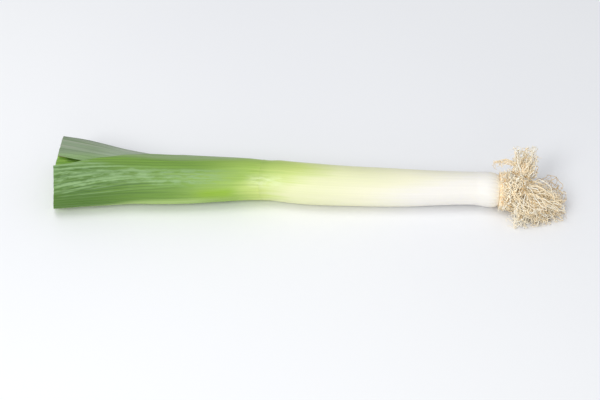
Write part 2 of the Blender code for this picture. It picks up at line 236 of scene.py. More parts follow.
class Shading:
    """A node material, with short calls for the nodes used here."""

    def __init__(self, name):
        self.material = bpy.data.materials.new(name)
        self.material.use_nodes = True
        self.tree = self.material.node_tree
        self.shader = self.tree.nodes["Principled BSDF"]

    def feed(self, socket, value):
        if isinstance(value, bpy.types.NodeSocket):
            self.tree.links.new(value, socket)
        else:
            socket.default_value = value

    def uv(self, name):
        source = self.tree.nodes.new("ShaderNodeUVMap")
        source.uv_map = name
        split = self.tree.nodes.new("ShaderNodeSeparateXYZ")
        self.tree.links.new(source.outputs["UV"], split.inputs[0])
        return split.outputs["X"], split.outputs["Y"]

    def place(self):
        return self.tree.nodes.new("ShaderNodeTexCoord").outputs["Object"]

    def math(self, operation, first, second):
        made = self.tree.nodes.new("ShaderNodeMath")
        made.operation = operation
        self.feed(made.inputs[0], first)
        self.feed(made.inputs[1], second)
        return made.outputs[0]

    def times(self, first, *others):
        for other in others:
            first = self.math("MULTIPLY", first, other)
        return first

    def plus(self, first, second):
        return self.math("ADD", first, second)

    def minus(self, first, second):
        return self.math("SUBTRACT", first, second)

    def over(self, first, second):
        return self.math("DIVIDE", first, second)

    def vector(self, x, y, z):
        made = self.tree.nodes.new("ShaderNodeCombineXYZ")
        for socket, value in zip(made.inputs, (x, y, z)):
            self.feed(socket, value)
        return made.outputs[0]

    def noise(self, vector, scale=1.0, detail=2.0, roughness=0.5):
        made = self.tree.nodes.new("ShaderNodeTexNoise")
        self.feed(made.inputs["Vector"], vector)
        made.inputs["Scale"].default_value = scale
        made.inputs["Detail"].default_value = detail
        made.inputs["Roughness"].default_value = roughness
        return made.outputs["Fac"]

    def streaks(self, across, station, count, length, seed, detail=2.0, roughness=0.5):
        """Noise drawn out along the leek: about count streaks round it, each length metres long."""
        place = self.vector(self.times(across, count), self.over(station, length), seed)
        return self.noise(place, detail=detail, roughness=roughness)

    def span(self, value, low, high, to_low=0.0, to_high=1.0):
        """Goes smoothly from to_low to to_high while value goes from low to high."""
        made = self.tree.nodes.new("ShaderNodeMapRange")
        made.interpolation_type = "SMOOTHSTEP"
        for socket, given in zip(made.inputs, (value, low, high, to_low, to_high)):
            self.feed(socket, given)
        return made.outputs[0]

    def ramp(self, value, stops):
        made = self.tree.nodes.new("ShaderNodeValToRGB")
        points = made.color_ramp.elements
        points[0].position, points[0].color = stops[0]
        points[-1].position, points[-1].color = stops[-1]
        for position, colour in stops[1:-1]:
            points.new(position).color = colour
        self.feed(made.inputs["Fac"], value)
        return made.outputs["Color"]

    def levels(self, value, stops):
        """A ramp whose stops are plain numbers."""
        return self.ramp(value, [(position, (grey, grey, grey, 1.0)) for position, grey in stops])

    def mix(self, amount, first, second, blend="MIX"):
        made = self.tree.nodes.new("ShaderNodeMix")
        made.data_type = "RGBA"
        made.blend_type = blend
        sockets = {socket.identifier: socket for socket in made.inputs}
        self.feed(sockets["Factor_Float"], amount)
        self.feed(sockets["A_Color"], first)
        self.feed(sockets["B_Color"], second)
        return next(socket for socket in made.outputs if socket.identifier == "Result_Color")

    def grained(self, colour, fine, darkest, lightest):
        """The colour, made darker and lighter by a fine noise."""
        grey = self.span(fine, 0.34, 0.66, darkest, lightest)
        return self.mix(1.0, colour, self.vector(grey, grey, grey), "MULTIPLY")

    def bump(self, height, distance, strength):
        made = self.tree.nodes.new("ShaderNodeBump")
        made.inputs["Strength"].default_value = strength
        made.inputs["Distance"].default_value = distance
        self.feed(made.inputs["Height"], height)
        self.tree.links.new(made.outputs["Normal"], self.shader.inputs["Normal"])

    def finish(self, colour, roughness, specular, subsurface=0.0):
        self.feed(self.shader.inputs["Base Color"], colour)
        self.feed(self.shader.inputs["Roughness"], roughness)
        self.shader.inputs["Specular IOR Level"].default_value = specular
        self.shader.inputs["Subsurface Weight"].default_value = subsurface
        self.shader.inputs["Subsurface Radius"].default_value = SUBSURFACE_RADIUS
        self.shader.inputs["Subsurface Scale"].default_value = SUBSURFACE_DEPTH
        return self.material


# Skin of stalk and front leaf: its colours by station, how many metres earlier the green comes by
# direction, and where the pale crinkle of the collar lies. Streaks, here and below, are given as about how
# many there are round the leek, how many metres long they are and, where it is their own, a seed.
LENGTHWAYS = ((0.0, WHITE), (0.055, WHITE), (0.095, CREAM), (0.146, PALE_GREEN), (0.166, YELLOW_GREEN),
              (0.184, FRESH_GREEN), (0.226, LEAF_GREEN), (0.285, DEEP_GREEN))
SKIN_REACH = 0.31
SKIN_SEED = 2.0
BROAD_SEED = 6.0
MIDDLE_STREAKS = (64, 0.10)
BROAD_STREAKS = (7, 0.10)
GREEN_LEAD = ((0.0, 0.038), (0.25, 0.041), (0.33, 0.030), (0.42, 0.007), (0.47, 0.0), (0.70, 0.004),
              (0.95, 0.038))
GREEN_LEAD_FADES = (0.080, 0.225)
MIDDLE_DRIFT = 0.022
BROAD_DRIFT = 0.026
CRINKLE_ROUND = ((0.33, 0.0), (0.37, 1.0), (0.42, 1.0), (0.46, 0.0))
CRINKLE_RUNS = ((0.144, 0.156), (0.180, 0.165))
CRINKLE_STREAKS = (60, 0.006)
VEIN_DEPTH = 0.00010
BROAD_VEINS = 0.8


def crinkle_patch(shading, turn, station):
    """How much of the pale crinkle shows here."""
    grain = shading.streaks(turn, station, *CRINKLE_STREAKS, SKIN_SEED, detail=3.0)
    patch = shading.levels(turn, CRINKLE_ROUND)
    for low, high in CRINKLE_RUNS:
        patch = shading.times(patch, shading.span(station, low, high))
    return shading.times(patch, shading.span(grain, 0.32, 0.68, 0.16, 0.50))


def skin(shading, across, turn, station):
    """The colour that runs through stalk and front leaf: white, yellow-green, deep green along the leek.

    The green comes further down the top and back of the stalk than down its front.
    """
    middle = shading.streaks(across, station, *MIDDLE_STREAKS, SKIN_SEED)
    broad = shading.streaks(across, station, *BROAD_STREAKS, BROAD_SEED)
    lead = shading.times(shading.levels(turn, GREEN_LEAD), shading.span(station, *GREEN_LEAD_FADES, 1.0, 0.0))
    wander = shading.times(shading.minus(middle, 0.5), MIDDLE_DRIFT)
    drift = shading.times(shading.minus(broad, 0.5), BROAD_DRIFT)
    place = shading.plus(shading.plus(station, lead), shading.plus(wander, drift))
    stops = [(s / SKIN_REACH, colour) for s, colour in LENGTHWAYS]
    colour = shading.ramp(shading.over(place, SKIN_REACH), stops)
    return shading.mix(crinkle_patch(shading, turn, station), colour, CRINKLE_PALE), middle


def vein_bump(shading, fine, broad, strength):
    shading.bump(shading.plus(fine, shading.times(broad, BROAD_VEINS)), VEIN_DEPTH, strength)


# Zones of the front leaf, as (turn, amount) stops or as the turns between which they come in, with the
# stations between which each starts, moves or ends.
LIT_TOP = ((0.19, 0.5), (0.23, 0.95), (0.325, 0.9), (0.36, 0.0))
LIT_TOP_STARTS = (0.175, 0.225)
# Far edge: greyer, partly waxy bloom and partly painted sheen where the leaf turns away from view.
FAR_EDGE_BLOOM_AND_SHEEN = ((0.0, 0.7), (0.18, 0.7), (0.225, 0.0), (0.9, 0.0), (1.0, 0.7))
FAR_EDGE_BLOOM_AND_SHEEN_STARTS = (0.160, 0.200)
BLOOM_TOP = (0.285, 0.345)
BLOOM_TOP_MOVES = (0.262, 0.292)
BLOOM_TOP_SHIFT = 0.04
BLOOM_FRONT = ((0.395, 1.0), (0.417, 0.8), (0.430, 0.2), (0.47, 0.05))
BLOOM_FRONT_MOVES = (0.255, 0.300)
BLOOM_FRONT_SHIFT = 0.038
BLOOM_STARTS = (0.170, 0.215)
VIVID_FRONT = ((0.44, 0.0), (0.475, 0.8), (0.51, 0.6), (0.54, 0.0))
VIVID_STARTS = (0.178, 0.190)
VIVID_ENDS = (0.216, 0.200)
# Painted reflected light: a paler strip along the underside, as if lit from below.
REFLECTED_UNDER = ((0.505, 0.0), (0.535, 0.8), (0.68, 0.8), (0.74, 0.2))
REFLECTED_UNDER_STARTS = (0.185, 0.215)
REFLECTED_UNDER_MOVES = (0.235, 0.275)
REFLECTED_UNDER_SHIFT = 0.028
BY_CREASE = ((0.33, 0.3), (0.385, 0.5), (0.425, 1.0), (0.465, 1.0), (0.49, 0.2))
LINES_START = (0.205, 0.250)
FOLDS_START = (0.245, 0.285)
FRONT_THIN = (110, 0.16, 6.0)
FRONT_FINE = (260, 0.05, 9.0)
FRONT_BLOTCHES = (60, 0.010, 3.0)


def front_leaf_bloom(shading, turn, station, cover):
    """How much waxy bloom lies here. It spreads further up and further down towards the cut."""
    from_top = shading.plus(turn, shading.span(station, *BLOOM_TOP_MOVES, 0.0, BLOOM_TOP_SHIFT))
    from_wall = shading.minus(turn, shading.span(station, *BLOOM_FRONT_MOVES, 0.0, BLOOM_FRONT_SHIFT))
    flank = shading.times(shading.span(from_top, *BLOOM_TOP), shading.levels(from_wall, BLOOM_FRONT))
    patches = shading.span(cover, 0.42, 0.58, 0.14, 0.90)
    return shading.times(flank, patches, shading.span(station, *BLOOM_STARTS))


def front_leaf_wall(shading, colour, turn, station):
    """Vivid green at the front just past the collar, over a strip of painted reflected light below it that
    narrows towards the cut.
    """
    vivid = shading.times(shading.levels(turn, VIVID_FRONT), shading.span(station, *VIVID_STARTS),
                          shading.span(station, *VIVID_ENDS))
    colour = shading.mix(vivid, colour, VIVID_GREEN)
    # Painted reflected light along the underside, as if lit from below.
    from_under = shading.minus(turn, shading.span(station, *REFLECTED_UNDER_MOVES, 0.0, REFLECTED_UNDER_SHIFT))
    pale = shading.times(shading.levels(from_under, REFLECTED_UNDER), shading.span(station, *REFLECTED_UNDER_STARTS))
    return shading.mix(pale, colour, REFLECTED_LIGHT_GREEN)


def front_leaf_folds(shading, colour, turn, station, thin, relief):
    """Thin dark lines by the crease, then painted shade in the hollows and a painted highlight on the crests
    where its folds stand up.
    """
    by_crease = shading.levels(turn, BY_CREASE)
    lines = shading.times(by_crease, shading.span(station, *LINES_START))
    dark = shading.times(shading.span(thin, 0.46, 0.36, 0.0, 0.60), lines)
    colour = shading.mix(dark, colour, FOLD_GREEN)
    folded = shading.times(by_crease, shading.span(station, *FOLDS_START))
    # Painted shade in the hollows of the folds.
    hollow_shade = shading.times(shading.span(relief, 0.45, 0.05, 0.0, 0.65), folded)
    colour = shading.mix(hollow_shade, colour, FOLD_GREEN)
    # Painted highlight on the crests of the folds.
    crest = shading.times(shading.span(relief, 0.75, 1.0, 0.0, 0.5), folded)
    return shading.mix(crest, colour, BLOOM_GREEN)


def front_leaf_material():
    """Deep green wall, brighter top, and a waxy bloom in streaks and patches on the flank between."""
    shading = Shading("front leaf skin")
    vein, station = shading.uv("blade")
    turn, relief = shading.uv("round")
    colour, middle = skin(shading, vein, turn, station)
    thin = shading.streaks(vein, station, *FRONT_THIN, detail=1.0)
    fine = shading.streaks(vein, station, *FRONT_FINE)
    blotch = shading.streaks(vein, station, *FRONT_BLOTCHES, detail=4.0, roughness=0.6)
    cover = shading.plus(shading.times(blotch, 0.6), shading.times(middle, 0.4))
    top = shading.times(shading.levels(turn, LIT_TOP), shading.span(station, *LIT_TOP_STARTS))
    colour = shading.mix(top, colour, TOP_GREEN)
    # Greyer far edge: partly waxy bloom, partly painted sheen at the grazing edge.
    edge = shading.times(shading.levels(turn, FAR_EDGE_BLOOM_AND_SHEEN), shading.span(station, *FAR_EDGE_BLOOM_AND_SHEEN_STARTS))
    colour = shading.mix(edge, colour, BLOOM_AND_SHEEN_GREEN)
    colour = shading.mix(front_leaf_bloom(shading, turn, station, cover), colour, BLOOM_GREEN)
    colour = front_leaf_wall(shading, colour, turn, station)
    colour = front_leaf_folds(shading, colour, turn, station, thin, relief)
    colour = shading.grained(colour, fine, 0.92, 1.07)
    vein_bump(shading, fine, thin, strength=0.7)
    return shading.finish(colour, roughness=shading.span(cover, 0.4, 0.6, 0.38, 0.52), specular=0.35,
                          subsurface=0.05)


# Zones of the back leaf, as (turn, amount) stops or as the turns or stations between which each comes in
# or ends.
BACK_BY_CREASE = ((0.05, 0.0), (0.065, 1.0), (0.115, 1.0), (0.135, 0.0))
CREST_STARTS = (0.235, 0.255)
CREST_WEAKENS = (0.300, 0.275)
MARGIN_TURNS = (0.14, 0.21)
BACK_SHADE_TURNS = (0.066, 0.054)
PALE_TURNS = (0.04, 0.09)
PALE_ENDS = (0.287, 0.262)
THROAT_ENDS = (0.215, 0.165)
BACK_MIDDLE = (60, 0.14, 21.0)
BACK_THIN = (110, 0.16, 25.0)
BACK_FINE = (210, 0.05, 29.0)


def back_leaf_crests(shading, turn, station, relief):
    """How pale the lines on the folds by the crease are. They weaken towards the cut."""
    crest = shading.times(shading.levels(turn, BACK_BY_CREASE), shading.span(relief, 0.70, 0.95, 0.0, 0.8))
    return shading.times(crest, shading.span(station, *CREST_WEAKENS, 0.35, 1.0),
                         shading.span(station, *CREST_STARTS))


def back_leaf_material():
    """Matt grey-green, paler near the stalk and along the crease, greener towards its margin, and with
    painted shade towards its back.
    """
    shading = Shading("back leaf skin")
    vein, station = shading.uv("blade")
    turn, relief = shading.uv("round")
    middle = shading.streaks(vein, station, *BACK_MIDDLE)
    thin = shading.streaks(vein, station, *BACK_THIN, detail=1.0)
    fine = shading.streaks(vein, station, *BACK_FINE)
    colour = shading.mix(shading.span(middle, 0.38, 0.62), GREY_GREEN, GREY_BLOOM)
    colour = shading.mix(shading.span(turn, *MARGIN_TURNS, 0.0, 0.7), colour, BACK_MARGIN)
    # Painted shade: darker towards the back of the leaf, beyond the crease.
    colour = shading.mix(shading.span(turn, *BACK_SHADE_TURNS, 0.0, 0.8), colour, GREY_DARK)
    pale = shading.times(shading.span(station, *PALE_ENDS, 0.0, 0.55), shading.span(turn, *PALE_TURNS))
    colour = shading.mix(pale, colour, BACK_PALE)
    colour = shading.mix(shading.span(station, *THROAT_ENDS), colour, YELLOW_GREEN)
    colour = shading.mix(shading.span(thin, 0.44, 0.34, 0.0, 0.12), colour, GREY_DARK)
    colour = shading.mix(back_leaf_crests(shading, turn, station, relief), colour, CREASE_PALE)
    vein_bump(shading, fine, thin, strength=0.7)
    return shading.finish(colour, roughness=0.5, specular=0.35, subsurface=0.05)


# Painted shadow: a leaf inside is darker under the next leaf's margin, up to near the cut, and painted shade
# darkens it all round further in.
MARGIN_SHADOW_TURNS = (0.262, 0.238)
MARGIN_SHADOW_ENDS = (0.3045, 0.299)
DEPTH_SHADE_ENDS = (0.2965, 0.290)
INSIDE_THROAT_ENDS = (0.230, 0.165)
PLAIN_MIDDLE = (44, 0.12)
PLAIN_FINE = (180, 0.05)
PLAIN_VEIN_DEPTH = 0.00012


def plain_leaf_material(name, main, shade, seed):
    """A smooth leaf surface in two greens, paler in the throat, with painted shadow under the next leaf's
    margin.
    """
    shading = Shading(name)
    vein, station = shading.uv("blade")
    turn = shading.uv("round")[0]
    middle = shading.streaks(vein, station, *PLAIN_MIDDLE, seed)
    fine = shading.streaks(vein, station, *PLAIN_FINE, seed + 5)
    colour = shading.mix(shading.span(middle, 0.35, 0.60), shade, main)
    # Painted shadow under the next leaf's margin, and painted shade deeper in the gap between the leaves.
    margin_shadow = shading.times(shading.span(turn, *MARGIN_SHADOW_TURNS, 0.0, 0.9),
                            shading.span(station, *MARGIN_SHADOW_ENDS))
    dark = shading.math("MAXIMUM", margin_shadow, shading.span(station, *DEPTH_SHADE_ENDS, 0.0, 0.9))
    colour = shading.mix(dark, colour, DEEP_GREEN)
    colour = shading.mix(shading.span(station, *INSIDE_THROAT_ENDS), colour, PALE_GREEN)
    colour = shading.grained(colour, fine, 0.92, 1.07)
    shading.bump(fine, PLAIN_VEIN_DEPTH, strength=0.7)
    return shading.finish(colour, roughness=0.42, specular=0.4, subsurface=0.08)


CUT_STARTS = (0.3015, 0.3030)
CUT_SPECKLE = (260, 0.004, 11)


def cut_material(name, flesh, rim, margin):
    """A blade's narrow edges: flesh with a darker skin at the knife cut, green along the margins."""
    shading = Shading(name)
    vein, station = shading.uv("blade")
    speckle = shading.streaks(vein, station, *CUT_SPECKLE)
    colour = shading.mix(shading.span(speckle, 0.35, 0.65), flesh, rim)
    colour = shading.mix(shading.span(station, *CUT_STARTS), margin, colour)
    return shading.finish(colour, roughness=0.55, specular=0.3, subsurface=0.1)


STALK_FINE = (170, 0.07, 5.0)
FOOT_ENDS = (0.009, 0.0)


def stalk_material():
    """Smooth and slightly waxy, with faint lengthways veins and a drier foot."""
    shading = Shading("stalk skin")
    turn, station = shading.uv("round")
    colour, middle = skin(shading, turn, turn, station)
    fine = shading.streaks(turn, station, *STALK_FINE)
    foot = shading.times(shading.span(station, *FOOT_ENDS), shading.span(middle, 0.3, 0.6, 0.2, 0.6))
    colour = shading.mix(foot, colour, FOOT_STRAW)
    colour = shading.grained(colour, fine, 0.975, 1.01)
    vein_bump(shading, fine, middle, strength=0.6)
    return shading.finish(colour, roughness=0.40, specular=0.35, subsurface=0.08)


def bundle_point(s, degrees, inset_y, inset_z, lift):
    """Point of the leaf bundle's rounded, flattened section, moved outwards by lift."""
    front = along(FRONT_EDGE, s)
    back = along(BACK_EDGE, s)
    half_width = (back - front) / 2 - inset_y
    half_height = along(HALF_HEIGHT, s) - inset_z
    power = along(SQUARENESS, s)
    across = np.cos(np.radians(degrees))
    up = np.sin(np.radians(degrees))
    reach = ((np.abs(across) / half_width) ** power + (np.abs(up) / half_height) ** power) ** (-1 / power)
    y = (front + back) / 2 + (reach + lift) * across
    rise = along(BACK_RISE, s) * np.clip(reach * across / ((back - front) / 2), 0.0, 1.0)
    z = along(AXIS_Z, s) + (reach + lift) * up + rise
    return y, z


def cut_station(layer, y, z):
    """Station at which a blade of this layer is cut, at the place y, z across the bundle."""
    at_front, per_depth, per_height = CUTS[layer]
    s = at_front + per_depth * (y - FRONT_EDGE[-1][1]) + per_height * (z - AXIS_Z[-1][1])
    return np.minimum(s, LEAF_REACH)


def outer_cover(keys):
    """Cover of a leaf at a station, read from (s, degrees) keys."""
    return lambda s: along(keys, s)


def inner_cover(at_cut):
    """Cover of a leaf that is closed in the throat and opens to at_cut degrees at the cut."""
    return lambda s: CLOSED_COVER + (at_cut - CLOSED_COVER) * smooth_step(OPENING_START, LEAF_REACH, s)


CREASE_HEIGHT = 0.0011
CREASE_SPREAD = 9.0
CREASE_START = 0.242
CREASE_FULL = 0.290
FOLD_HEIGHT = 0.00022
FOLD_DEGREES = 4.6
VEIN_DRIFT = 34.0
VEIN_DRIFT_START = 0.225
VEIN_DRIFT_POWER = 1.3
VEIN_FAN = 15.0
RIB_HEIGHT = 0.00022
RIB_RUN = 0.06
RIB_WANDER = 0.8
RIB_WANDER_RUN = 0.12
RIB_SWEEP = 90
WAVE_HEIGHT = 0.0003
WAVE_RUN = 0.07
MARGIN_WAVE = 1.2
MARGIN_WAVE_RUN = 0.03
MARGIN_SWEEP = 40
MARGIN_THICKNESS = 0.55
MARGIN_SHARPNESS = 6
CUT_WAVE = 0.00025
MARGIN_SEED = 31
RIB_SEED = 37
WAVE_SEED = 5
CUT_SEED = 41


def vein_degrees(side, spread, s):
    """Direction at the leaf's base of the vein that passes here: veins bend towards the crease at the cut."""
    risen = np.clip((s - VEIN_DRIFT_START) / (LEAF_REACH - VEIN_DRIFT_START), 0.0, 1.0)
    return side + spread + VEIN_DRIFT * risen ** VEIN_DRIFT_POWER * np.tanh(spread / VEIN_FAN)


def blade_surface(side, layer, cover_at, ribs, fraction, s):
    """Points of a leaf at stations s. fraction goes from -1 at one margin to 1 at the other.

    Gives y, z, the direction, the vein and the relief, which is 1 on a rib or fold and -1 between two.
    """
    at_throat, across_at_cut, deep_at_cut = LAYERS[layer]
    grown = smooth_step(COLLAR, COLLAR + RIB_RUN, s)
    margin_wave = grown * ripple(s, MARGIN_SWEEP * fraction, MARGIN_WAVE_RUN, MARGIN_SEED)
    spread = (cover_at(s) + MARGIN_WAVE * margin_wave) * fraction
    depth = smooth_step(COLLAR, LEAF_REACH, s)
    inset_y = BLADE / 2 + at_throat + depth * (across_at_cut - at_throat)
    inset_z = BLADE / 2 + at_throat + depth * (deep_at_cut - at_throat)
    vein = vein_degrees(side, spread, s)
    wander = RIB_WANDER * ripple(s, RIB_SWEEP * fraction, RIB_WANDER_RUN, RIB_SEED)
    relief = grown * np.cos(np.radians(vein) * ribs + wander)
    waves = grown * ripple(s, side + spread, WAVE_RUN, WAVE_SEED)
    lift = RIB_HEIGHT / 2 * relief + WAVE_HEIGHT * waves
    if layer < CREASED_LAYERS:
        above, crease = (spread, BACK_CREASE) if side == BACK_SIDE else (-spread, FRONT_CREASE)
        above_crease = above - along(crease, s)
        hump = smooth_step(CREASE_START, CREASE_FULL, s) * np.exp(-(above_crease / CREASE_SPREAD) ** 2)
        folds = np.cos(2 * math.pi * above_crease / FOLD_DEGREES)
        lift = lift + hump * (CREASE_HEIGHT + FOLD_HEIGHT * (folds - 1))
        relief = relief * (1 - hump) + hump * folds
    y, z = bundle_point(s, side + spread, inset_y, inset_z, lift)
    return y, z, side + spread, vein, relief


def thicken(made, fraction, rows, finishes):
    """Give a blade its thickness, less towards its margins, and its outer, inner and edge materials."""
    columns = fraction.size
    group = made.vertex_groups.new(name="thickness")
    weights = 1 - (1 - MARGIN_THICKNESS) * np.abs(fraction[0]) ** MARGIN_SHARPNESS
    for column, weight in enumerate(weights):
        group.add([row * columns + column for row in range(rows)], float(weight), "REPLACE")
    shell = made.modifiers.new("blade thickness", "SOLIDIFY")
    shell.thickness = BLADE
    shell.offset = 0.0
    shell.vertex_group = "thickness"
    shell.material_offset = 1
    shell.material_offset_rim = 2
    for finish in finishes:
        made.data.materials.append(finish)


def blade(name, side, layer, cover_at, ribs, columns, rows, finishes):
    """A leaf blade with ribs and folds, thinner towards its margins and cut at its end.

    Its UV map blade holds the vein and the station, and round holds the direction and the relief.
    """
    fraction = np.linspace(-1.0, 1.0, columns + 1)[None, :]
    y_end, z_end = blade_surface(side, layer, cover_at, ribs, fraction, np.full((1, 1), LEAF_REACH))[:2]
    cut = cut_station(layer, y_end, z_end) + CUT_WAVE * ripple(0.0, 360 * fraction, 1.0, CUT_SEED + layer)
    steps = np.linspace(0.0, 1.0, rows + 1)[:, None]
    s = BLADE_START + (np.minimum(cut, LEAF_REACH) - BLADE_START) * steps
    y, z, degrees, vein, relief = blade_surface(side, layer, cover_at, ribs, fraction, s)
    maps = {"blade": (vein / 360, s), "round": (degrees / 360, (relief + 1) / 2)}
    made = grid_mesh(name + "_blade", PLATE_X - s, y, z, maps, closed=False)
    thicken(made, fraction, rows + 1, finishes)
    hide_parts(name)
    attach(made, "root")


def build_leaves():
    """The five leaves from the outside in, each with materials for its outer side, inner side and edge."""
    front = front_leaf_material()
    back = back_leaf_material()
    young = plain_leaf_material("young leaf skin", YOUNG_GREEN, YOUNG_SHADE, 41.0)
    inside = plain_leaf_material("leaf inside", INSIDE_GREEN, YOUNG_GREEN, 61.0)
    cut = cut_material("leaf cut edge", CUT_FLESH, CUT_SKIN, INSIDE_GREEN)
    dry_cut = cut_material("dry cut edge", DRY_FLESH, DRY_SKIN, BACK_MARGIN)
    blade("leaf_front_outer", FRONT_SIDE, 0, outer_cover(FRONT_COVER), ribs=32, columns=224, rows=200,
          finishes=(front, inside, cut))
    blade("leaf_back_outer", BACK_SIDE, 1, outer_cover(BACK_COVER), ribs=30, columns=210, rows=180,
          finishes=(back, inside, dry_cut))
    blade("leaf_front_inner", FRONT_SIDE, 2, inner_cover(140), ribs=22, columns=154, rows=110,
          finishes=(young, inside, cut))
    blade("leaf_back_inner", BACK_SIDE, 3, inner_cover(120), ribs=20, columns=140, rows=100,
          finishes=(young, inside, cut))
    blade("leaf_heart", FRONT_SIDE, 4, inner_cover(150), ribs=20, columns=120, rows=80,
          finishes=(young, inside, cut))


STALK_COLUMNS = 240
STALK_ROWS = 280
COLLAR_WAVE = 0.0022
COLLAR_LONGEST = 140
COLLAR_RAGGED = 0.0006
COLLAR_SEED = 17
DENT_DEPTH = 0.00020
DENT_RUN = 0.06
DENTS_START = 0.012
DENT_SEED = 23
PLEATS = 27
PLEAT_HEIGHT = 0.00016
PLEAT_START = 0.0015
PLEAT_FULL = 0.001
PLEAT_REACH = 0.011
PLEAT_WANDER = 2
PLEAT_WANDER_RUN = 0.02
PLEAT_SEED = 3
RIM_THICKNESS = 0.00018
RIM_GAP = 0.00002
RIM_BLEND = 0.012
RIM_FLAT = 0.002
RIM_DEPTH = 0.003
RIM_ROWS = 4
CRINKLE_HEIGHT = 0.00007
CRINKLE_WAVE = 0.0024
CRINKLES = 31
CRINKLE_BENDS = 9
CRINKLE_SIDES = (200, 130)


def stalk_surface(degrees, rim):
    """Stations and points of the stalk, from the root plate to the rim that lies on the leaf in it."""
    s = rim * np.linspace(0.0, 1.0, STALK_ROWS)[:, None]
    turned = np.radians(degrees)
    dents = smooth_step(0.0, DENTS_START, s) * ripple(s, degrees, DENT_RUN, DENT_SEED)
    foot = smooth_step(PLEAT_REACH, PLEAT_FULL, s) * smooth_step(0.0, PLEAT_START, s)
    pleats = np.cos(turned * PLEATS + PLEAT_WANDER * ripple(s, degrees, PLEAT_WANDER_RUN, PLEAT_SEED))
    radius = along(SHAFT_RADIUS, s) + DENT_DEPTH * dents + PLEAT_HEIGHT * foot * pleats
    y = along(AXIS_Y, s) + radius * np.cos(turned)
    z = along(AXIS_Z, s) + radius * np.sin(turned)
    on_leaf = smooth_step(rim - RIM_BLEND, rim - RIM_FLAT, s)
    rows = np.sin(2 * math.pi * s / CRINKLE_WAVE + 3 * np.sin(turned * CRINKLE_BENDS))
    crinkle = rows * np.sin(turned * CRINKLES)
    crinkle = crinkle * smooth_step(*CRINKLE_SIDES, degrees) * (1 - smooth_step(0.6, 1, on_leaf))
    lift = RIM_THICKNESS + CRINKLE_HEIGHT * crinkle
    y_leaf, z_leaf = bundle_point(s, degrees, 0.0, 0.0, lift)
    return s, y + on_leaf * (y_leaf - y), np.maximum(z + on_leaf * (z_leaf - z), 0.0)


def build_stalk():
    """The stalk, with a pleated foot, long shallow dents and a thin, uneven rim folded in at the collar."""
    degrees = np.linspace(0, 360, STALK_COLUMNS, endpoint=False)[None, :]
    rim = COLLAR + COLLAR_WAVE * np.cos(np.radians(degrees - COLLAR_LONGEST))
    rim = rim + COLLAR_RAGGED * ripple(0, degrees, 1.0, COLLAR_SEED)
    s, y, z = stalk_surface(degrees, rim)
    s_under = rim - np.linspace(0.0, RIM_DEPTH, RIM_ROWS)[:, None]
    y_under, z_under = bundle_point(s_under, degrees, 0.0, 0.0, RIM_GAP)
    s = np.vstack([s, s_under])
    made = grid_mesh("stalk", PLATE_X - s, np.vstack([y, y_under]), np.vstack([z, z_under]),
                     {"round": (degrees / 360, s)}, closed=True)
    close_ends(made)
    made.data.materials.append(stalk_material())
    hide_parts("shaft")
    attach(made, "root")


# The root mop. Places in it are in metres from the middle of the root plate: away from the leek, back and up.
STRAND_SIDES = 5
STRAND_POINTS = 22
STRAND_TAPER = 0.55
FLOOR_CLEARANCE = 0.0007
SHAFT_CLEARANCE = 0.0008
FELT_FULL = 0.010
FELT_NARROWS = 0.016
TUFT_RADIUS = 0.006
TUFT_DEPTH = 0.0285
TUFT_LOW = 0.006
TUFT_RISE = 0.011
TUFT_TOP = 0.0175
FAN_RADIUS = 0.009
FAN_START = 0.012
FAN_LENGTH = 0.033
ROOT_SEED = 29


def centre_of_plate():
    return Vector((PLATE_X, float(along(AXIS_Y, 0)), float(along(AXIS_Z, 0))))


def keep_clear(point):
    """Lift a strand's point off the floor and push it outwards past the stalk."""
    s = PLATE_X - point.x
    if s > -SHAFT_CLEARANCE:
        axis = Vector((point.x, float(along(AXIS_Y, s)), float(along(AXIS_Z, s))))
        outwards = point - axis
        least = float(along(SHAFT_RADIUS, s)) + SHAFT_CLEARANCE
        if outwards.length < least:
            point = axis + outwards.normalized() * least
    point.z = max(point.z, FLOOR_CLEARANCE)
    point.x = min(point.x, ROOT_END_X)
    return point


def drawn(chooser, *parts):
    """A place whose parts are drawn between (low, high) limits, or fixed where one number is given."""
    return Vector([chooser.uniform(*part) if isinstance(part, tuple) else part for part in parts])


def felt_strand(chooser):
    """Winds round the matted lump on the root plate, close to it."""
    turn = chooser.uniform(0, 2 * math.pi)
    low = chooser.uniform(0.0012, 0.014)
    radius = chooser.uniform(0.0114, 0.0134)
    sweep = chooser.uniform(-1.6, 1.6)
    drift = chooser.uniform(-0.006, 0.010)
    points = []
    for t in (0.0, 0.25, 0.5, 0.75, 1.0):
        angle = turn + sweep * t
        reach = radius * (0.6 + 0.4 * min(1.0, t * 4)) + chooser.uniform(-0.0008, 0.0010)
        x = max(low + drift * t + chooser.uniform(-0.0015, 0.0015), SHAFT_CLEARANCE)
        reach *= math.sqrt(max(0.25, 1 - (max(x - FELT_FULL, 0) / FELT_NARROWS) ** 2))
        points.append(Vector((x, reach * math.cos(angle), reach * math.sin(angle))))
    return points


def upper_strand(chooser):
    """Rises behind the end of the stalk."""
    side = math.radians(chooser.uniform(10, 110))
    start = drawn(chooser, (0.010, 0.018), TUFT_RADIUS * math.cos(side), TUFT_RADIUS * math.sin(side))
    grown = chooser.uniform(0.3, 1.0)
    depth = TUFT_DEPTH * grown
    height = TUFT_LOW + TUFT_RISE * grown
    tip = drawn(chooser, (0.011, 0.027), (depth - 0.002, depth + 0.002), (height - 0.003, height + 0.001))
    middle = start.lerp(tip, 0.5) + drawn(chooser, (-0.002, 0.003), (-0.003, 0.003), (0.0, 0.005))
    curl = tip + drawn(chooser, (-0.005, 0.003), (-0.005, 0.003), (-0.006, 0.001))
    curl.z = min(curl.z, TUFT_TOP)
    return [start, middle, tip, curl]


